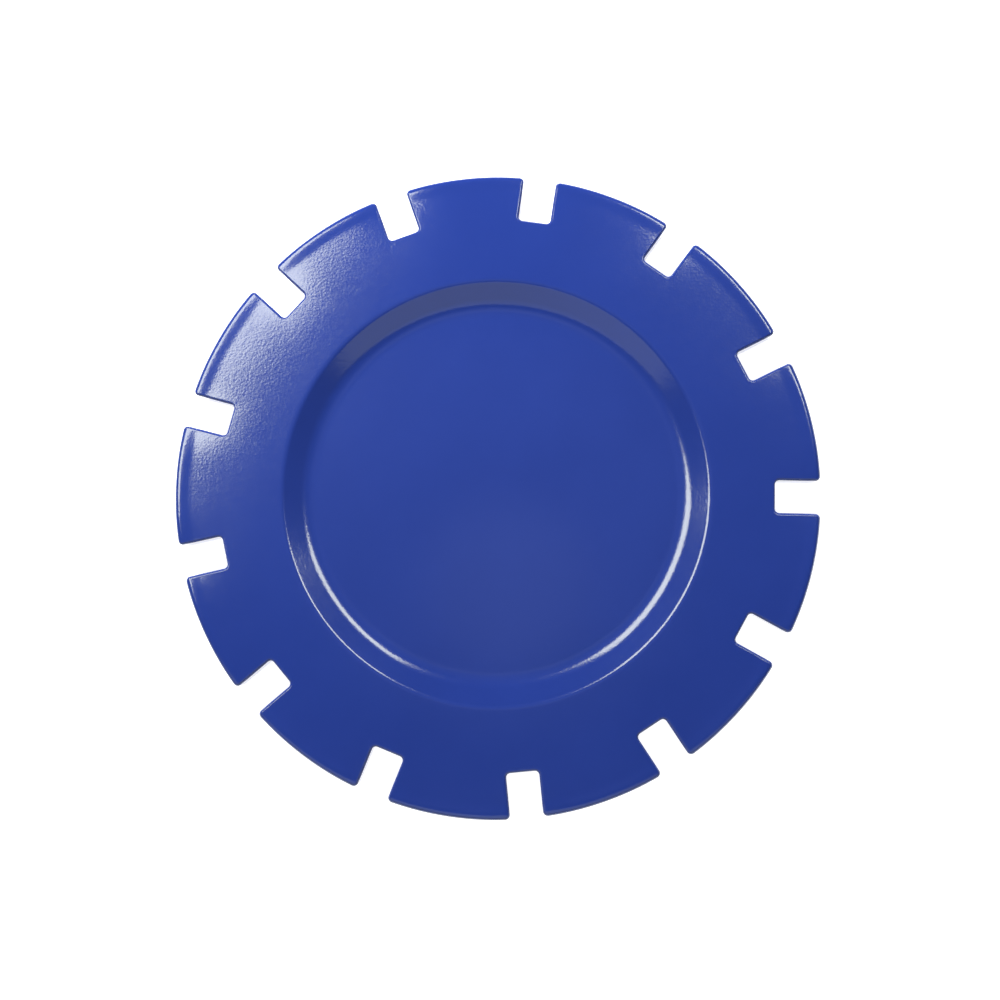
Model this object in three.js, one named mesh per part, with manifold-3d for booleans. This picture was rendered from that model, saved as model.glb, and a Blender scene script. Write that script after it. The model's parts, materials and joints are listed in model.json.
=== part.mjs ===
// A contactless transit token: two moulded plastic shells with a slotted rim round a sealed radio inlay.
// Millimetres, +Z up. The origin is the centre of the flat back face, which the token rests on.
// The centre line of one rim slot lies on +X.
import * as THREE from "three";
import { mergeVertices } from "three/addons/utils/BufferGeometryUtils.js";
import Module from "manifold-3d";

// ---------------------------------------------------------------- driving dimensions

const TOKEN_RADIUS = 15;
const TOKEN_THICKNESS = 1.6;
const PARTING_HEIGHT = TOKEN_THICKNESS / 2; // where the two shells meet
const SHELL_WALL = 0.4; // thickness of the back wall, the flange and the recess floor
const RIM_ROUNDING = 0.12; // radius of the outer edge, front and back

const SLOT_COUNT = 13;
const SLOT_WIDTH = 1.5;
const SLOT_ROOT_RADIUS = 12.9; // from the token's centre to the flat root of a slot
const SLOT_ROOT_FILLET = 0.19;
const SLOT_MOUTH_ROUNDING = 0.23;
const BACK_SLOT_DRAFT = THREE.MathUtils.degToRad(3); // the back shell's slots open towards the back face

const RECESS_LIP_RADIUS = 10.07; // where the flange starts to bend down
const RECESS_DEPTH = 0.44;
const RECESS_SLOPE = THREE.MathUtils.degToRad(20);
const RECESS_LIP_BEND = 0.6; // radius of the convex bend at the flange
const RECESS_FLOOR_BEND = 1.8; // radius of the concave bend at the floor

const CAVITY_RADIUS = 12.3;
const LIP_WIDTH = 0.2; // locating lip of the back shell, which enters a rebate in the front shell
const LIP_HEIGHT = 0.2;
const LIP_CLEARANCE = 0.05;

const ADHESIVE_RADIUS = 9.2;
const ADHESIVE_THICKNESS = 0.05;
const FILM_RADIUS = 12.2;
const FILM_THICKNESS = 0.08;
const FOIL_THICKNESS = 0.04;

const COIL_TURNS = 6;
const COIL_INNER_RADIUS = 10.2; // centre line of the innermost turn
const COIL_PITCH = 0.28;
const TRACK_WIDTH = 0.16;
const LEAD_OFFSET = 0.7; // both leads run parallel to +X, this far to either side of it

const CHIP_X = 7.2;
const CHIP_SIDE = 1;
const CHIP_THICKNESS = 0.1;
const CHIP_PAD_GAP = 0.3;
const CHIP_PAD_LENGTH = 1.2;
const CHIP_PAD_OUTER_Y = 0.9;
const ENCAPSULANT_RADIUS = 1.05;
const ENCAPSULANT_HEIGHT = 0.15;

const CRIMP_LENGTH = 0.4;
const CRIMP_WIDTH = 0.16;
const CRIMP_PAD_LENGTH = 0.66;
const CRIMP_PAD_WIDTH = 0.3;
const CRIMP_CLEARANCE = 0.02;
const BRIDGE_WIDTH = 0.5;
const BRIDGE_INNER_X = 9.65; // where the inner crimp comes up, inside the coil

const STEPS_PER_SLOT_PITCH = 8; // facets of the round walls between one slot and the next
const FULL_TURN_STEPS = SLOT_COUNT * STEPS_PER_SLOT_PITCH;
const RIM_STEPS = 3;
const BEND_STEPS = 2;
const CORNER_STEPS = 3;
const COIL_STEPS_PER_TURN = 36;
const FULL_TURN = 2 * Math.PI;
const CUT_MARGIN = 0.5; // how far a cutter reaches past what it cuts

// Heights of the inlay's layers, stacked on the back wall.
const ADHESIVE_TOP = SHELL_WALL + ADHESIVE_THICKNESS;
const FILM_TOP = ADHESIVE_TOP + FILM_THICKNESS;
const FOIL_TOP = FILM_TOP + FOIL_THICKNESS;

// ---------------------------------------------------------------- solids

const wasm = await Module();
wasm.setup();

function toSolid(geometry) {
  const bare = geometry.clone();
  bare.deleteAttribute("normal");
  bare.deleteAttribute("uv");
  const merged = mergeVertices(bare, 1e-4);
  return new wasm.Manifold(
    new wasm.Mesh({
      numProp: 3,
      vertProperties: new Float32Array(merged.attributes.position.array),
      triVerts: new Uint32Array(merged.index.array),
    }),
  );
}

function toGeometry(solid) {
  const mesh = solid.getMesh();
  const geometry = new THREE.BufferGeometry();
  geometry.setAttribute("position", new THREE.BufferAttribute(mesh.vertProperties, 3));
  geometry.setIndex(new THREE.BufferAttribute(mesh.triVerts, 1));
  geometry.computeVertexNormals();
  return geometry;
}

function subtractAll(solid, cutters) {
  return cutters.reduce((rest, cutter) => rest.subtract(cutter), solid);
}

// A solid of revolution about +Z. The profile is [radius, height] pairs, anticlockwise.
function turned(profile, steps = FULL_TURN_STEPS) {
  const points = profile.map(([radius, height]) => new THREE.Vector2(radius, height));
  return new THREE.LatheGeometry(points, steps).rotateX(Math.PI / 2);
}

function disc(radius, low, high) {
  return turned([
    [0, low],
    [radius, low],
    [radius, high],
    [0, high],
  ]);
}

function block(lowCorner, highCorner) {
  const low = new THREE.Vector3(...lowCorner);
  const size = new THREE.Vector3(...highCorner).sub(low);
  return new THREE.BoxGeometry(...size).translate(...size.clone().multiplyScalar(0.5).add(low));
}

function extrudedUp(outline, low, high) {
  const shape = new THREE.Shape(outline);
  return new THREE.ExtrudeGeometry(shape, { depth: high - low, bevelEnabled: false }).translate(0, 0, low);
}

// Points on an arc, as [x, y] pairs, both ends included.
function arc(centreX, centreY, radius, fromAngle, toAngle, steps) {
  return Array.from({ length: steps + 1 }, (_, step) => {
    const angle = fromAngle + ((toAngle - fromAngle) * step) / steps;
    return [centreX + radius * Math.cos(angle), centreY + radius * Math.sin(angle)];
  });
}

// ---------------------------------------------------------------- recess

// The dished step from the recess floor out to the flange: floor bend, straight slope, lip bend.
// The flange lies at flangeHeight. Points run outwards, and both ends lie on the flat stretches.
function recessStep(flangeHeight) {
  const bendDrop = 1 - Math.cos(RECESS_SLOPE);
  const slopeDrop = RECESS_DEPTH - (RECESS_LIP_BEND + RECESS_FLOOR_BEND) * bendDrop;
  const slopeRun = slopeDrop / Math.tan(RECESS_SLOPE);
  const bendRun = (RECESS_LIP_BEND + RECESS_FLOOR_BEND) * Math.sin(RECESS_SLOPE);
  const floorRadius = RECESS_LIP_RADIUS - bendRun - slopeRun;
  const floorHeight = flangeHeight - RECESS_DEPTH;
  const quarter = Math.PI / 2;
  const floorBend = arc(
    floorRadius,
    floorHeight + RECESS_FLOOR_BEND,
    RECESS_FLOOR_BEND,
    -quarter,
    RECESS_SLOPE - quarter,
    BEND_STEPS,
  );
  const lipBend = arc(
    RECESS_LIP_RADIUS,
    flangeHeight - RECESS_LIP_BEND,
    RECESS_LIP_BEND,
    quarter + RECESS_SLOPE,
    quarter,
    BEND_STEPS,
  );
  return [...floorBend, ...lipBend];
}

// ---------------------------------------------------------------- rim slots

// Plan outline of one slot along +X: flat root, filleted root corners, parallel walls, rounded mouth.
function slotOutline() {
  const halfWidth = SLOT_WIDTH / 2;
  const mouthY = halfWidth + SLOT_MOUTH_ROUNDING;
  const mouthX = Math.sqrt((TOKEN_RADIUS - SLOT_MOUTH_ROUNDING) ** 2 - mouthY ** 2);
  const mouthAngle = Math.atan2(mouthY, mouthX);
  const beyond = TOKEN_RADIUS + CUT_MARGIN;
  const rootCorner = arc(
    SLOT_ROOT_RADIUS + SLOT_ROOT_FILLET,
    halfWidth - SLOT_ROOT_FILLET,
    SLOT_ROOT_FILLET,
    Math.PI,
    Math.PI / 2,
    CORNER_STEPS,
  );
  const mouthCorner = arc(mouthX, mouthY, SLOT_MOUTH_ROUNDING, -Math.PI / 2, mouthAngle, CORNER_STEPS);
  const outside = [beyond * Math.cos(mouthAngle), beyond * Math.sin(mouthAngle)];
  const upperHalf = [...rootCorner, ...mouthCorner, outside];
  const lowerHalf = upperHalf.map(([x, y]) => [x, -y]).reverse();
  return [...lowerHalf, ...upperHalf].map(([x, y]) => new THREE.Vector2(x, y));
}

// A cutter for every slot, from low to high. With a draft, a slot widens downwards from the parting plane.
function slotCutters(low, high, draft = 0) {
  return Array.from({ length: SLOT_COUNT }, (_, slot) => {
    const geometry = extrudedUp(slotOutline(), low, high);
    const position = geometry.attributes.position;
    for (let i = 0; i < position.count; i += 1) {
      const wider = (PARTING_HEIGHT - position.getZ(i)) * Math.tan(draft);
      position.setX(i, position.getX(i) - wider);
      position.setY(i, position.getY(i) + Math.sign(position.getY(i)) * wider);
    }
    return toSolid(geometry.rotateZ((slot * FULL_TURN) / SLOT_COUNT));
  });
}

// ---------------------------------------------------------------- shells

function frontShell() {
  const rimEdge = arc(
    TOKEN_RADIUS - RIM_ROUNDING,
    TOKEN_THICKNESS - RIM_ROUNDING,
    RIM_ROUNDING,
    0,
    Math.PI / 2,
    RIM_STEPS,
  );
  const inside = recessStep(TOKEN_THICKNESS - SHELL_WALL);
  const outside = recessStep(TOKEN_THICKNESS).reverse();
  const rebateRadius = CAVITY_RADIUS + LIP_WIDTH + LIP_CLEARANCE;
  const rebateTop = PARTING_HEIGHT + LIP_HEIGHT + LIP_CLEARANCE;
  const profile = [
    [0, inside[0][1]],
    ...inside,
    [CAVITY_RADIUS, TOKEN_THICKNESS - SHELL_WALL],
    [CAVITY_RADIUS, rebateTop],
    [rebateRadius, rebateTop],
    [rebateRadius, PARTING_HEIGHT],
    [TOKEN_RADIUS, PARTING_HEIGHT],
    ...rimEdge,
    ...outside,
    [0, outside.at(-1)[1]],
  ];
  const cutters = slotCutters(PARTING_HEIGHT - CUT_MARGIN, TOKEN_THICKNESS + CUT_MARGIN);
  return toGeometry(subtractAll(toSolid(turned(profile)), cutters));
}

function backShell() {
  const rimEdge = arc(TOKEN_RADIUS - RIM_ROUNDING, RIM_ROUNDING, RIM_ROUNDING, -Math.PI / 2, 0, RIM_STEPS);
  const lipRadius = CAVITY_RADIUS + LIP_WIDTH;
  const lipTop = PARTING_HEIGHT + LIP_HEIGHT;
  const profile = [
    [0, 0],
    ...rimEdge,
    [TOKEN_RADIUS, PARTING_HEIGHT],
    [lipRadius, PARTING_HEIGHT],
    [lipRadius, lipTop],
    [CAVITY_RADIUS, lipTop],
    [CAVITY_RADIUS, SHELL_WALL],
    [0, SHELL_WALL],
  ];
  const cutters = slotCutters(-CUT_MARGIN, PARTING_HEIGHT + CUT_MARGIN, BACK_SLOT_DRAFT);
  return toGeometry(subtractAll(toSolid(turned(profile)), cutters));
}

// ---------------------------------------------------------------- inlay

// The coil's outer end, where the outer crimp comes up through the film.
const coilEndAngle = Math.asin(LEAD_OFFSET / COIL_INNER_RADIUS);
const outerTurnRadius = COIL_INNER_RADIUS + COIL_TURNS * COIL_PITCH;
const bridgeOuterX = Math.sqrt(outerTurnRadius ** 2 - LEAD_OFFSET ** 2) + CRIMP_PAD_WIDTH / 4;

// A crimp at x on the outer lead's line, as low and high corners grown by clearance on each side.
function crimpCorners(x, low, high, clearance = 0) {
  const halfX = CRIMP_WIDTH / 2 + clearance;
  const halfY = CRIMP_LENGTH / 2 + clearance;
  return [
    [x - halfX, -LEAD_OFFSET - halfY, low],
    [x + halfX, -LEAD_OFFSET + halfY, high],
  ];
}

function inlayFilm() {
  const holes = [BRIDGE_INNER_X, bridgeOuterX].map((x) =>
    toSolid(block(...crimpCorners(x, 0, FILM_TOP + CUT_MARGIN, CRIMP_CLEARANCE))),
  );
  return toGeometry(subtractAll(toSolid(disc(FILM_RADIUS, ADHESIVE_TOP, FILM_TOP)), holes));
}

// Plan outline of the flat spiral: out along its outer edge, then back along its inner edge.
function spiralOutline() {
  const startAngle = coilEndAngle;
  const endAngle = COIL_TURNS * FULL_TURN - coilEndAngle;
  const steps = COIL_TURNS * COIL_STEPS_PER_TURN;
  const edge = (offset) =>
    Array.from({ length: steps + 1 }, (_, step) => {
      const angle = startAngle + ((endAngle - startAngle) * step) / steps;
      const radius = COIL_INNER_RADIUS + (COIL_PITCH * angle) / FULL_TURN + offset;
      return new THREE.Vector2(radius * Math.cos(angle), radius * Math.sin(angle));
    });
  return [...edge(TRACK_WIDTH / 2), ...edge(-TRACK_WIDTH / 2).reverse()];
}

// A chip pad with its lead, on the +Y side (side = 1) or the -Y side (side = -1) of the chip.
function chipPad(side, leadEndX) {
  const between = (fromX, toX, nearY, farY) =>
    toSolid(
      block(
        [fromX, Math.min(side * nearY, side * farY), FILM_TOP],
        [toX, Math.max(side * nearY, side * farY), FOIL_TOP],
      ),
    );
  const padEndX = CHIP_X + CHIP_PAD_LENGTH / 2;
  const pad = between(CHIP_X - CHIP_PAD_LENGTH / 2, padEndX, CHIP_PAD_GAP / 2, CHIP_PAD_OUTER_Y);
  const halfTrack = TRACK_WIDTH / 2;
  const lead = between(padEndX - TRACK_WIDTH, leadEndX, LEAD_OFFSET - halfTrack, LEAD_OFFSET + halfTrack);
  return pad.add(lead);
}

function crimpPad(x) {
  const halfX = CRIMP_PAD_WIDTH / 2;
  const halfY = CRIMP_PAD_LENGTH / 2;
  const pad = block([x - halfX, -LEAD_OFFSET - halfY, FILM_TOP], [x + halfX, -LEAD_OFFSET + halfY, FOIL_TOP]);
  const hole = block(...crimpCorners(x, 0, FOIL_TOP + CUT_MARGIN));
  return toSolid(pad).subtract(toSolid(hole));
}

function antennaCoil() {
  const spiral = toSolid(extrudedUp(spiralOutline(), FILM_TOP, FOIL_TOP));
  const innerEndX = COIL_INNER_RADIUS * Math.cos(coilEndAngle) + TRACK_WIDTH / 2;
  const hole = toSolid(block(...crimpCorners(bridgeOuterX, 0, FOIL_TOP + CUT_MARGIN)));
  return toGeometry(spiral.subtract(hole).add(chipPad(1, innerEndX)).add(crimpPad(bridgeOuterX)));
}

function contactIsland() {
  const lead = chipPad(-1, BRIDGE_INNER_X - CRIMP_WIDTH / 2 - CRIMP_CLEARANCE);
  return toGeometry(lead.add(crimpPad(BRIDGE_INNER_X)));
}

function bridgeStrap() {
  const low = ADHESIVE_TOP - FOIL_THICKNESS;
  const halfWidth = BRIDGE_WIDTH / 2;
  const strap = block(
    [BRIDGE_INNER_X - halfWidth, -LEAD_OFFSET - halfWidth, low],
    [bridgeOuterX + CRIMP_WIDTH / 2, -LEAD_OFFSET + halfWidth, ADHESIVE_TOP],
  );
  const crimps = [BRIDGE_INNER_X, bridgeOuterX].map((x) => toSolid(block(...crimpCorners(x, low, FOIL_TOP))));
  return toGeometry(crimps.reduce((whole, crimp) => whole.add(crimp), toSolid(strap)));
}

// ---------------------------------------------------------------- chip

function chipCorners(top) {
  const half = CHIP_SIDE / 2;
  return [
    [CHIP_X - half, -half, FOIL_TOP],
    [CHIP_X + half, half, top],
  ];
}

// A flat drop with a rounded edge, with the chip's own shape taken out of its underside.
function chipEncapsulant() {
  const edge = arc(
    ENCAPSULANT_RADIUS - ENCAPSULANT_HEIGHT,
    FOIL_TOP,
    ENCAPSULANT_HEIGHT,
    0,
    Math.PI / 2,
    RIM_STEPS,
  );
  const profile = [[0, FOIL_TOP], ...edge, [0, FOIL_TOP + ENCAPSULANT_HEIGHT]];
  const drop = toSolid(turned(profile, FULL_TURN_STEPS / 4).translate(CHIP_X, 0, 0));
  return toGeometry(drop.subtract(toSolid(block(...chipCorners(FOIL_TOP + CHIP_THICKNESS)))));
}

// ---------------------------------------------------------------- materials and assembly

function plastic(color, roughness) {
  return new THREE.MeshStandardMaterial({ color, roughness, metalness: 0 });
}

function foil() {
  return new THREE.MeshStandardMaterial({ color: 0xc9cccf, roughness: 0.35, metalness: 1 });
}

const TOKEN_BLUE = 0x2438a8;

function piece(name, geometry, material) {
  const mesh = new THREE.Mesh(geometry, material);
  mesh.name = name;
  return mesh;
}

const casing = new THREE.Group();
casing.add(
  piece("back_shell", backShell(), plastic(TOKEN_BLUE, 0.3)),
  piece("front_shell", frontShell(), plastic(TOKEN_BLUE, 0.3)),
);

const inlay = new THREE.Group();
inlay.add(
  piece("inlay_adhesive", disc(ADHESIVE_RADIUS, SHELL_WALL, ADHESIVE_TOP), plastic(0xd8cfae, 0.6)),
  piece("inlay_film", inlayFilm(), plastic(0xdfe4e6, 0.25)),
  piece("antenna_coil", antennaCoil(), foil()),
  piece("contact_island", contactIsland(), foil()),
  piece("bridge_strap", bridgeStrap(), foil()),
  piece("chip_die", block(...chipCorners(FOIL_TOP + CHIP_THICKNESS)), plastic(0x3a3d44, 0.2)),
  piece("chip_encapsulant", chipEncapsulant(), plastic(0x121214, 0.45)),
);

const token = new THREE.Group();
token.add(casing, inlay);

export default token;
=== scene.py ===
"""Looks of the contactless transit token. Metres, +Z up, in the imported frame: it lies on z = 0, front up.

Both shells are made again as fine meshes with truly rounded edges. The sealed inlay keeps its CAD meshes.
"""

import json
import math

import bpy
from mathutils import Matrix, Vector


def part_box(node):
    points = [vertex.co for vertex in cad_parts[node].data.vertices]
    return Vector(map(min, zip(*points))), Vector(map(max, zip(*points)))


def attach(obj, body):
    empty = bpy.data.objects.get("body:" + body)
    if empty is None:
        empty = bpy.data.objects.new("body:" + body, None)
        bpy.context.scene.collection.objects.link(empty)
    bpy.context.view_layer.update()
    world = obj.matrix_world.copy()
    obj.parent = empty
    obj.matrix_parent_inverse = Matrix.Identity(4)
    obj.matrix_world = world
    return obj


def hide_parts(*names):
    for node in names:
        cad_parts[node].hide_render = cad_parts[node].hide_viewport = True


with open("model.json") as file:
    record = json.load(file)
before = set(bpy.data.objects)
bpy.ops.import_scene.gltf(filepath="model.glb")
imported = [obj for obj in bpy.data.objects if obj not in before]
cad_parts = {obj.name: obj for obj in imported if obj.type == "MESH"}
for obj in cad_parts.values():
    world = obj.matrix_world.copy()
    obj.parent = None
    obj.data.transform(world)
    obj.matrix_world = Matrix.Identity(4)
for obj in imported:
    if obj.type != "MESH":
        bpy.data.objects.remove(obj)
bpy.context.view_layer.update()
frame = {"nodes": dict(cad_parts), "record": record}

MM = 0.001
QUARTER = math.pi / 2

# ---------------------------------------------------------------- sizes from the frame

record_mounts = {mount["name"]: mount for mount in frame["record"]["mounts"]}
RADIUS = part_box("front_shell")[1].y  # not along X, where a slot cuts the rim
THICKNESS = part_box("front_shell")[1].z
PARTING = THICKNESS / 2
FLOOR_HEIGHT = record_mounts["label_recess"]["pos_m"][2]
RECESS_DEPTH = THICKNESS - FLOOR_HEIGHT
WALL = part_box("inlay_adhesive")[0].z  # the inlay lies on the back wall
LIP_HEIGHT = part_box("back_shell")[1].z - PARTING  # of the locating lip

# ---------------------------------------------------------------- sizes of the moulded shells

SLOTS = 13
PITCH = 2 * math.pi / SLOTS
SLOT_HALF_WIDTH = 0.75 * MM
SLOT_ROOT = 12.9 * MM  # from the token's centre
ROOT_FILLET = 0.19 * MM
MOUTH_ROUNDING = 0.23 * MM
EDGE = 0.12 * MM  # radius of the rounded edges, front and back
SEAM_CHAMFER = 0.04 * MM
BACK_DRAFT = math.tan(math.radians(3))  # of the back shell's slot walls

LIP_RADIUS = 10.07 * MM  # where the flange starts to bend down into the recess
LIP_BEND = 0.75 * MM
FLOOR_BEND = 2.3 * MM
SLOPE = math.radians(20)  # of the recess wall

BEAD_HEIGHT = 0.012 * MM  # the rim carries a slight bead, whose crest is the highest line of the token
BEAD_CREST = 0.235 * MM  # from the rim in to the crest
BEAD_FOOT = 0.52 * MM  # from the crest in to the flat flange
BEAD_CURVE = 0.6 * MM  # radius of the bead's outer side
ROLL_OVER = 0.007 * MM  # the flange sinks a little beside the slots
ROLL_WIDTH = 1.7 * MM  # how far from a slot it starts to sink
CORNER_DROP = 0.038 * MM  # it sinks by this much more at the corners of the tabs

CAVITY_RADIUS = 12.3 * MM
LOCATING_LIP = 0.2 * MM  # its thickness
LIP_CLEARANCE = 0.05 * MM
INNER_FILLET = 0.1 * MM
SUPPORT = 0.03 * MM  # width of the narrow face row that keeps a flat stretch flat beside a bend

EDGE_ROWS = 8
BEND_ROWS = 12
FILLET_ROWS = 4
SHARP_ANGLE = math.radians(40)  # a sharper edge than this isn't shaded smooth

# Where the rows of points lie, as shares of the way across each face.
FLANGE_SHARES = (0.02, 0.15, 0.3, 0.42, 0.54, 0.64, 0.73, 0.8, 0.85, 0.875)
BEAD_SHARES = (0.893, 0.908, 0.921, 0.933, 0.944, 0.953, 0.962, 0.97, 0.978, 0.985, 0.993)
FLOOR_SHARES = (0.04, 0.35, 0.7)
PARTING_SHARES = (0.05, 0.5, 0.95)
BACK_SHARES = (0.98, 0.7, 0.35, 0.05)
POCKET_SHARES = (0.05, 0.35, 0.7)


# ---------------------------------------------------------------- plan outline of the slotted disc


def arc(centre_x, centre_y, radius, start, end, steps):
    """Points on an arc, both ends included."""
    angles = [start + (end - start) * step / steps for step in range(steps + 1)]
    return [(centre_x + radius * math.cos(a), centre_y + radius * math.sin(a)) for a in angles]


def line(start, end, steps):
    """Points on a straight line, both ends included."""
    shares = [step / steps for step in range(steps + 1)]
    return [tuple(a + (b - a) * share for a, b in zip(start, end)) for share in shares]


ROOT_STEPS, CORNER_STEPS, WALL_STEPS, MOUTH_STEPS, RIM_STEPS = 3, 5, 5, 7, 12
POINTS = 2 * SLOTS * (ROOT_STEPS + CORNER_STEPS + WALL_STEPS + MOUTH_STEPS + RIM_STEPS)
ROOT_SHARE = 0.42  # of each half pitch of a ring, for the points that meet the slot's root and fillet


def half_pitch(inset, slot_inset):
    """From the middle of a slot's root to the middle of the next tab's rim, for a slot on +X.
    inset moves the rim into the body, and slot_inset the slot's root and walls."""
    rim = RADIUS - inset
    half_width = SLOT_HALF_WIDTH + slot_inset
    root = SLOT_ROOT - slot_inset
    fillet = ROOT_FILLET + slot_inset
    mouth = MOUTH_ROUNDING - inset
    mouth_y = half_width + mouth
    mouth_x = math.sqrt((rim - mouth) ** 2 - mouth_y**2)
    mouth_angle = math.atan2(mouth_y, mouth_x)
    segments = (
        line((root, 0), (root, half_width - fillet), ROOT_STEPS),
        arc(root + fillet, half_width - fillet, fillet, math.pi, QUARTER, CORNER_STEPS),
        line((root + fillet, half_width), (mouth_x, half_width), WALL_STEPS),
        arc(mouth_x, mouth_y, mouth, -QUARTER, mouth_angle, MOUTH_STEPS),
        arc(0, 0, rim, mouth_angle, PITCH / 2, RIM_STEPS),
    )
    return [segments[0][0]] + [point for segment in segments for point in segment[1:]]


def outline(inset=0.0, draft=0.0):
    """The half pitch mirrored and repeated round the disc, as one closed row of 2D points."""
    half = half_pitch(inset, inset + draft)
    mirrored = [(x, -y) for x, y in reversed(half)]
    pitch = mirrored[:-1] + half[:-1]
    points = []
    for slot in range(SLOTS):
        c, s = math.cos(slot * PITCH), math.sin(slot * PITCH)
        points += [Vector((x * c - y * s, x * s + y * c)) for x, y in pitch]
    return points


def ring_angles():
    """Angles of a ring's points, one for each outline point. They are spread so that the faces between a
    slot's walls and a ring lead away from the slot and don't fold over."""
    root_steps = ROOT_STEPS + CORNER_STEPS
    other_steps = WALL_STEPS + MOUTH_STEPS + RIM_STEPS
    half = [ROOT_SHARE * step / root_steps for step in range(root_steps)]
    half += [ROOT_SHARE + (1 - ROOT_SHARE) * step / other_steps for step in range(other_steps + 1)]
    mirrored = [-share for share in reversed(half)]
    pitch = mirrored[:-1] + half[:-1]
    return [slot * PITCH + share * PITCH / 2 for slot in range(SLOTS) for share in pitch]


RING_ANGLES = ring_angles()


def ring(radius):
    """A circle with one point for each outline point."""
    return [Vector((radius * math.cos(a), radius * math.sin(a))) for a in RING_ANGLES]


def flat_row(points, height):
    return [Vector((p.x, p.y, height)) for p in points]


def rows_between(inner, outer, height, shares):
    """Rows across a flat face, from near one row of 2D points to near another."""
    return [flat_row([a.lerp(b, share) for a, b in zip(inner, outer)], height) for share in shares]


# ---------------------------------------------------------------- profiles


def recess_profile(flange, floor):
    """(radius, height) pairs from near the centre out to the flange, along the dished step."""
    bend_drop = 1 - math.cos(SLOPE)
    slope_drop = flange - floor - (LIP_BEND + FLOOR_BEND) * bend_drop
    slope_run = slope_drop / math.tan(SLOPE)
    floor_radius = LIP_RADIUS - slope_run - (LIP_BEND + FLOOR_BEND) * math.sin(SLOPE)
    flat = [(share * floor_radius, floor) for share in FLOOR_SHARES]
    flat.append((floor_radius - SUPPORT, floor))
    floor_bend = arc(floor_radius, floor + FLOOR_BEND, FLOOR_BEND, -QUARTER, SLOPE - QUARTER, BEND_ROWS)
    lip_bend = arc(LIP_RADIUS, flange - LIP_BEND, LIP_BEND, QUARTER + SLOPE, QUARTER, BEND_ROWS)
    return flat + floor_bend + lip_bend


def slot_distance(point):
    """From a point on the face to the nearest slot."""
    angle = (math.atan2(point.y, point.x) + PITCH / 2) % PITCH - PITCH / 2
    along = point.length * math.cos(angle)
    across = abs(point.length * math.sin(angle))
    return math.hypot(max(0, SLOT_ROOT - along), max(0, across - SLOT_HALF_WIDTH))


def face_drop(point):
    """How far the front face lies below the crest of its rim bead at a point."""
    beyond_crest = point.length - (RADIUS - BEAD_CREST)
    if beyond_crest > 0:
        bead = beyond_crest**2 / (2 * BEAD_CURVE)
    else:
        share = min(1, -beyond_crest / BEAD_FOOT)
        bead = BEAD_HEIGHT * share * share * (3 - 2 * share)
    roll = max(0, 1 - slot_distance(point) / ROLL_WIDTH)
    along_tab = max(0, (point.length - SLOT_ROOT) / (RADIUS - SLOT_ROOT))
    return bead + roll**2 * (ROLL_OVER + CORNER_DROP * along_tab**1.5)


def front_face_row(points, height):
    """A row of the front face or its rounded edge, sunk by the bead and the roll-over."""
    return [Vector((p.x, p.y, height - face_drop(p))) for p in points]


# ---------------------------------------------------------------- meshes from rows


def mesh_from_rows(name, rows, first_centre, last_centre):
    """A closed mesh: each row is a closed ring of points, joined to the next, with a fan at each end."""
    vertices = [p for row in rows for p in row] + [first_centre, last_centre]
    first, last = len(vertices) - 2, len(vertices) - 1
    faces = []
    for row in range(len(rows) - 1):
        a, b = row * POINTS, (row + 1) * POINTS
        for i in range(POINTS):
            j = (i + 1) % POINTS
            faces.append((a + i, b + i, b + j, a + j))
    end = (len(rows) - 1) * POINTS
    for i in range(POINTS):
        j = (i + 1) % POINTS
        faces.append((first, i, j))
        faces.append((last, end + j, end + i))
    mesh = bpy.data.meshes.new(name)
    mesh.from_pydata(vertices, [], faces)
    mesh.polygons.foreach_set("use_smooth", [True] * len(mesh.polygons))
    mesh.set_sharp_from_angle(angle=SHARP_ANGLE)
    mesh.update()
    piece = bpy.data.objects.new(name, mesh)
    bpy.context.scene.collection.objects.link(piece)
    return piece


def edge_insets():
    """(inset, depth) pairs of the rounded edge, from the face to the wall."""
    angles = [QUARTER * row / EDGE_ROWS for row in range(EDGE_ROWS + 1)]
    return [(EDGE * (1 - math.sin(a)), EDGE * (1 - math.cos(a))) for a in angles]


def draft_at(height):
    """How far the back shell's slot walls stand back at a height below the parting plane."""
    return (PARTING - height) * BACK_DRAFT


def front_shell():
    """From the recess out over the flange and down the rim, then in by the rebate and the pocket."""
    flange = THICKNESS - BEAD_HEIGHT
    ceiling = THICKNESS - WALL
    rebate_radius = CAVITY_RADIUS + LOCATING_LIP + LIP_CLEARANCE
    rebate_top = PARTING + LIP_HEIGHT + LIP_CLEARANCE
    rows = [flat_row(ring(r), z) for r, z in recess_profile(flange, FLOOR_HEIGHT)]
    lip, edge = ring(LIP_RADIUS), outline(EDGE)
    for share in FLANGE_SHARES + BEAD_SHARES:
        rows.append(front_face_row([a.lerp(b, share) for a, b in zip(lip, edge)], THICKNESS))
    for inset, depth in edge_insets():
        rows.append(front_face_row(outline(inset), THICKNESS - depth))
    rows.append(flat_row(outline(), PARTING + SEAM_CHAMFER))
    rows.append(flat_row(outline(SEAM_CHAMFER), PARTING))
    rows += rows_between(outline(SEAM_CHAMFER), ring(rebate_radius), PARTING, PARTING_SHARES)
    fillet_z = ceiling - INNER_FILLET
    inside = [(rebate_radius, PARTING), (rebate_radius, rebate_top), (CAVITY_RADIUS, rebate_top)]
    inside += arc(CAVITY_RADIUS - INNER_FILLET, fillet_z, INNER_FILLET, 0, QUARTER, FILLET_ROWS)
    inside += reversed(recess_profile(ceiling, ceiling - RECESS_DEPTH))
    rows += [flat_row(ring(r), z) for r, z in inside]
    top_centre = Vector((0, 0, FLOOR_HEIGHT))
    under_centre = Vector((0, 0, ceiling - RECESS_DEPTH))
    return mesh_from_rows("front_shell_moulded", rows, top_centre, under_centre)


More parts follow.
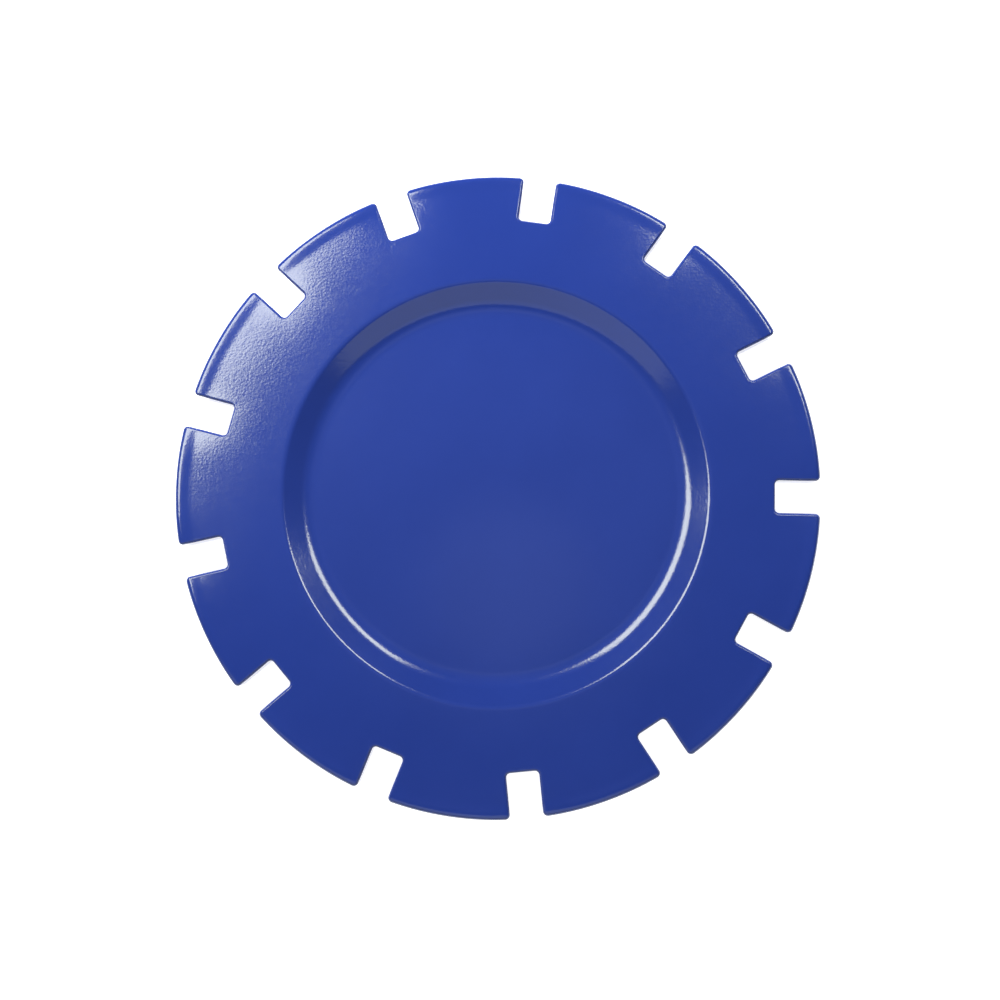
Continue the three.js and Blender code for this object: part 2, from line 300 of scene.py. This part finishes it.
def back_shell():
    """From the pocket out over the locating lip, then down the rim and in across the back face."""
    lip_radius = CAVITY_RADIUS + LOCATING_LIP
    lip_top = PARTING + LIP_HEIGHT
    fillet_z = WALL + INNER_FILLET
    inside = [(share * CAVITY_RADIUS, WALL) for share in POCKET_SHARES]
    inside += arc(CAVITY_RADIUS - INNER_FILLET, fillet_z, INNER_FILLET, -QUARTER, 0, FILLET_ROWS)
    inside += [(CAVITY_RADIUS, lip_top), (lip_radius, lip_top), (lip_radius, PARTING)]
    rows = [flat_row(ring(r), z) for r, z in inside]
    rows += rows_between(ring(lip_radius), outline(SEAM_CHAMFER), PARTING, PARTING_SHARES)
    rows.append(flat_row(outline(SEAM_CHAMFER), PARTING))
    chamfer_z = PARTING - SEAM_CHAMFER
    rows.append(flat_row(outline(0, draft_at(chamfer_z)), chamfer_z))
    for inset, depth in reversed(edge_insets()):
        rows.append(flat_row(outline(inset, draft_at(depth)), depth))
    edge = outline(EDGE, draft_at(0))
    rows += rows_between(ring(LIP_RADIUS), edge, 0, BACK_SHARES)
    rows += [flat_row(ring(share * LIP_RADIUS), 0) for share in BACK_SHARES]
    return mesh_from_rows("back_shell_moulded", rows, Vector((0, 0, WALL)), Vector((0, 0, 0)))


# ---------------------------------------------------------------- materials


class Material:
    """A node material round a Principled shader, textured in the token's own coordinates."""

    def __init__(self, name, roughness, metallic=0.0, ior=1.5):
        self.material = bpy.data.materials.new(name)
        self.material.use_nodes = True
        self.nodes = self.material.node_tree.nodes
        self.links = self.material.node_tree.links
        self.shader = self.nodes["Principled BSDF"]
        self.shader.inputs["Roughness"].default_value = roughness
        self.shader.inputs["Metallic"].default_value = metallic
        self.shader.inputs["IOR"].default_value = ior
        self.coordinates = self.nodes.new("ShaderNodeTexCoord").outputs["Object"]

    def node(self, kind, **inputs):
        """A node whose inputs are numbers or the sockets they come from. Underscores stand for spaces."""
        node = self.nodes.new("ShaderNode" + kind)
        for key, value in inputs.items():
            socket = node.inputs[key.replace("_", " ")]
            if isinstance(value, bpy.types.NodeSocket):
                self.links.new(value, socket)
            else:
                socket.default_value = value
        return node

    def stretched(self, scale):
        return self.node("Mapping", Vector=self.coordinates, Scale=scale).outputs["Vector"]

    def noise(self, scale, detail=2.0, vector=None):
        source = vector or self.coordinates
        return self.node("TexNoise", Vector=source, Scale=scale, Detail=detail).outputs["Fac"]

    def maths(self, operation, *values):
        node = self.nodes.new("ShaderNodeMath")
        node.operation = operation
        for socket, value in zip(node.inputs, values):
            if isinstance(value, bpy.types.NodeSocket):
                self.links.new(value, socket)
            else:
                socket.default_value = value
        return node.outputs["Value"]

    def ramp(self, factor, *stops):
        """A colour ramp from (position, colour) stops."""
        node = self.node("ValToRGB", Fac=factor)
        elements = node.color_ramp.elements
        while len(elements) < len(stops):
            elements.new(0.5)
        for element, (position, colour) in zip(elements, stops):
            element.position = position
            element.color = (*colour, 1)
        return node.outputs["Color"]

    def remap(self, factor, low, high, to_low, to_high):
        ends = {"From_Min": low, "From_Max": high, "To_Min": to_low, "To_Max": to_high}
        return self.node("MapRange", Value=factor, **ends).outputs["Result"]

    def painted_shade_on_slopes(self, colour, share):
        """Painted shade: the colour, times share where the surface slopes by 20 degrees or more from its
        flat faces, so that slopes such as the recess wall come out darker than their lighting makes them.
        """
        normal = self.nodes.new("ShaderNodeTexCoord").outputs["Normal"]
        upright = self.maths("ABSOLUTE", self.node("SeparateXYZ", Vector=normal).outputs["Z"])
        sloping, level = 0.94, 0.995  # cosines of about 20 and 6 degrees
        factor = self.remap(upright, sloping, level, share, 1)
        node = self.nodes.new("ShaderNodeVectorMath")
        node.operation = "SCALE"
        self.links.new(colour, node.inputs[0])
        self.links.new(factor, node.inputs["Scale"])
        return node.outputs["Vector"]

    def set(self, socket, value):
        self.links.new(value, self.shader.inputs[socket])

    def bump(self, height, depth):
        """depth is the height in metres of one unit of the height texture."""
        node = self.node("Bump", Strength=1.0, Distance=depth, Height=height)
        self.set("Normal", node.outputs["Normal"])
        self.set("Coat Normal", node.outputs["Normal"])


def shell_plastic():
    """Deep blue gloss plastic: a faint mottle, a fine leathery grain with cells 0.13 mm wide, and painted
    shade that darkens the colour on the recess slopes.
    """
    look = Material("shell_plastic_look", 0.12)
    look.shader.inputs["Coat Weight"].default_value = 1.0
    look.shader.inputs["Specular Tint"].default_value = (0.75, 0.95, 1, 1)
    look.shader.inputs["Coat Roughness"].default_value = 0.1
    look.shader.inputs["Coat IOR"].default_value = 1.5
    mottle = look.noise(220, 3)
    tone = look.ramp(mottle, (0.3, (0.0135, 0.0355, 0.23)), (0.7, (0.0155, 0.039, 0.245)))
    # painted shade: the base colour is darkened where the surface slopes, on the recess wall
    look.set("Base Color", look.painted_shade_on_slopes(tone, 0.83))
    look.set("Roughness", look.remap(look.noise(2600, 1), 0.3, 0.7, 0.1, 0.13))
    cells = look.node("TexVoronoi", Vector=look.coordinates, Scale=7500.0).outputs["Distance"]
    grain = look.maths("ADD", look.noise(12000, 0), cells)
    look.bump(grain, 0.00085 * MM)
    return look.material


def adhesive():
    """Matte cream bonding film."""
    look = Material("adhesive_look", 0.6)
    blotches = look.noise(900, 4)
    look.set("Base Color", look.ramp(blotches, (0.3, (0.62, 0.55, 0.36)), (0.7, (0.74, 0.68, 0.50))))
    look.set("Roughness", look.remap(look.noise(3000), 0.3, 0.7, 0.5, 0.7))
    look.bump(look.noise(5000, 3), 0.006 * MM)
    return look.material


def carrier_film():
    """Milky polyester film with drawing lines along X."""
    look = Material("carrier_film_look", 0.22, ior=1.6)
    haze = look.noise(300, 5)
    look.set("Base Color", look.ramp(haze, (0.3, (0.76, 0.80, 0.82)), (0.7, (0.84, 0.87, 0.88))))
    look.set("Roughness", look.remap(haze, 0.3, 0.7, 0.16, 0.3))
    look.bump(look.noise(1200, 2, look.stretched((1, 0.12, 1))), 0.002 * MM)
    return look.material


def foil(name, colour_low, colour_high, roughness_low, roughness_high, grain_depth):
    """Rolled aluminium foil: fine rolling lines along X."""
    look = Material(name, roughness_low, metallic=1.0)
    lines = look.noise(9000, 3, look.stretched((0.04, 1, 1)))
    stain = look.noise(500, 3)
    look.set("Base Color", look.ramp(stain, (0.3, colour_low), (0.7, colour_high)))
    look.set("Roughness", look.remap(lines, 0.3, 0.7, roughness_low, roughness_high))
    look.bump(lines, grain_depth)
    return look.material


def silicon():
    """Ground silicon: fine grinding lines along Y."""
    look = Material("silicon_look", 0.3, metallic=0.35, ior=2.5)
    grinding = look.noise(14000, 3, look.stretched((1, 0.05, 1)))
    look.set("Base Color", look.ramp(grinding, (0.3, (0.05, 0.055, 0.065)), (0.7, (0.09, 0.095, 0.105))))
    look.set("Roughness", look.remap(grinding, 0.3, 0.7, 0.22, 0.4))
    look.bump(grinding, 0.001 * MM)
    return look.material


def epoxy():
    """Black epoxy with pale filler grains."""
    look = Material("epoxy_look", 0.4)
    filler = look.noise(16000, 2)
    look.set("Base Color", look.ramp(filler, (0.4, (0.008, 0.008, 0.009)), (0.75, (0.03, 0.03, 0.032))))
    look.set("Roughness", look.remap(look.noise(4000, 3), 0.3, 0.7, 0.3, 0.5))
    look.bump(look.noise(6000, 4), 0.004 * MM)
    return look.material


def dress(piece, material):
    piece.data.materials.clear()
    piece.data.materials.append(material)


# ---------------------------------------------------------------- pieces

plastic = shell_plastic()
for make, node_name in ((front_shell, "front_shell"), (back_shell, "back_shell")):
    shell = make()
    dress(shell, plastic)
    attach(shell, "root")
    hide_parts(node_name)

bright_foil = foil("etched_foil_look", (0.74, 0.75, 0.76), (0.84, 0.85, 0.86), 0.2, 0.38, 0.002 * MM)
dull_foil = foil("bridge_foil_look", (0.66, 0.67, 0.69), (0.76, 0.77, 0.79), 0.32, 0.5, 0.004 * MM)
inlay_looks = {
    "inlay_adhesive": adhesive(),
    "inlay_film": carrier_film(),
    "antenna_coil": bright_foil,
    "contact_island": bright_foil,
    "bridge_strap": dull_foil,
    "chip_die": silicon(),
    "chip_encapsulant": epoxy(),
}
for node_name, material in inlay_looks.items():
    dress(frame["nodes"][node_name], material)

# ---------------------------------------------------------------- camera

scene = bpy.context.scene
CAMERA_PLACE = Vector((0.1877, -0.3832, 3.91113))  # in radii, from the middle of the front face's plane
CAMERA_RIGHT = Vector((0.99887, 0.02335, -0.04149))
CAMERA_UP = Vector((-0.01948, 0.99563, 0.09129))
CAMERA_SENSOR = 36
CAMERA_LENS = 45.88  # both in mm, as Blender takes them

camera_data = bpy.data.cameras.new("camera")
camera_data.sensor_width = CAMERA_SENSOR
camera_data.lens = CAMERA_LENS
camera_data.clip_start = 0.001
camera_data.clip_end = 20
camera = bpy.data.objects.new("camera", camera_data)
right = CAMERA_RIGHT.normalized()
back = right.cross(CAMERA_UP).normalized()
up = back.cross(right)
place = CAMERA_PLACE * RADIUS + Vector((0, 0, THICKNESS))
camera.matrix_world = Matrix.Translation(place) @ Matrix((right, up, back)).transposed().to_4x4()
scene.collection.objects.link(camera)
scene.camera = camera

# ---------------------------------------------------------------- studio

FLOOR_LEVEL = -0.02 * MM  # just clear of the back face
FLOOR_RADIUS = 1.2
SWEEP_RADIUS = 0.3
SWEEP_STEPS = 96
WALL_TOP = 0.45


def studio_paper():
    """White paper that glows, so that it stays white under any light."""
    look = Material("studio_paper", 0.9)
    look.shader.inputs["Base Color"].default_value = (0.85, 0.85, 0.85, 1)
    look.shader.inputs["Emission Color"].default_value = (1, 1, 1, 1)
    look.shader.inputs["Emission Strength"].default_value = 1.0
    return look.material


def studio_sweep():
    """A round floor that curves up into a low wall."""
    profile = [(radius, 0) for radius in (0.02, 0.2, 0.6)]
    profile += arc(FLOOR_RADIUS - SWEEP_RADIUS, SWEEP_RADIUS, SWEEP_RADIUS, -QUARTER, 0, BEND_ROWS)
    profile.append((FLOOR_RADIUS, WALL_TOP))
    vertices = []
    for radius, height in profile:
        for step in range(SWEEP_STEPS):
            angle = 2 * math.pi * step / SWEEP_STEPS
            vertices.append((radius * math.cos(angle), radius * math.sin(angle), FLOOR_LEVEL + height))
    faces = [tuple(range(SWEEP_STEPS))]
    for row in range(len(profile) - 1):
        a, b = row * SWEEP_STEPS, (row + 1) * SWEEP_STEPS
        for i in range(SWEEP_STEPS):
            j = (i + 1) % SWEEP_STEPS
            faces.append((a + i, b + i, b + j, a + j))
    mesh = bpy.data.meshes.new("studio_sweep")
    mesh.from_pydata(vertices, [], faces)
    mesh.polygons.foreach_set("use_smooth", [True] * len(mesh.polygons))
    sweep = bpy.data.objects.new("studio_sweep", mesh)
    scene.collection.objects.link(sweep)
    dress(sweep, studio_paper())
    return sweep


studio_sweep()

# ---------------------------------------------------------------- lights

LIGHT_DISTANCE = 0.8
SOFTBOX_RADIANCE = 8.0
SOFTBOX_COLOUR = (1.13, 1.05, 0.82)


def panel(name, azimuth, near, far, width, radiance, distance=LIGHT_DISTANCE, shape="RECTANGLE"):
    """An area light that faces the token, azimuth degrees round it. near and far are the tangents of its
    edges' angles off the vertical, and width is its width as a share of its height above the token."""
    slant = (math.atan(near) + math.atan(far)) / 2
    turn = math.radians(azimuth)
    sideways = math.sin(slant)
    direction = Vector((sideways * math.cos(turn), sideways * math.sin(turn), math.cos(slant)))
    data = bpy.data.lights.new(name, "AREA")
    data.shape = shape
    data.size = width * direction.z * distance
    data.size_y = 2 * math.tan(math.atan(far) - slant) * distance
    area = data.size * data.size_y * (math.pi / 4 if shape == "ELLIPSE" else 1)
    data.energy = radiance * math.pi * area
    light = bpy.data.objects.new(name, data)
    light.visible_camera = False
    side = Vector((0, 0, 1)).cross(direction).normalized()
    axes = Matrix((side, direction.cross(side), direction)).transposed()
    light.matrix_world = Matrix.Translation(direction * distance) @ axes.to_4x4()
    scene.collection.objects.link(light)
    return light


softboxes = (
    panel("softbox_left", azimuth=147, near=0.336, far=0.568, width=0.43, radiance=SOFTBOX_RADIANCE),
    panel("softbox_right", azimuth=53, near=0.355, far=0.508, width=0.34, radiance=SOFTBOX_RADIANCE),
)
for softbox in softboxes:
    softbox.data.color = SOFTBOX_COLOUR
    softbox.visible_diffuse = False
panel("front_card", azimuth=268, near=0.225, far=1.0, width=1.4, radiance=0.6)
panel("ceiling_glow", azimuth=120, near=-0.09, far=0.26, width=0.34, radiance=0.07, shape="ELLIPSE")
panel("camera_glow", azimuth=150, near=-0.03, far=0.11, width=0.14, radiance=0.13, shape="ELLIPSE")
top_light = panel("top_light", azimuth=112, near=1.4, far=2.3, width=1.2, radiance=58.5, distance=0.1)
top_light.visible_glossy = False

world = bpy.data.worlds.new("world")
world.use_nodes = True
background = world.node_tree.nodes["Background"]
background.inputs["Color"].default_value = (1, 1, 1, 1)
background.inputs["Strength"].default_value = 0.06
scene.world = world

scene.view_settings.view_transform = "Standard"
scene.view_settings.look = "None"
scene.view_settings.exposure = 0
scene.view_settings.gamma = 1
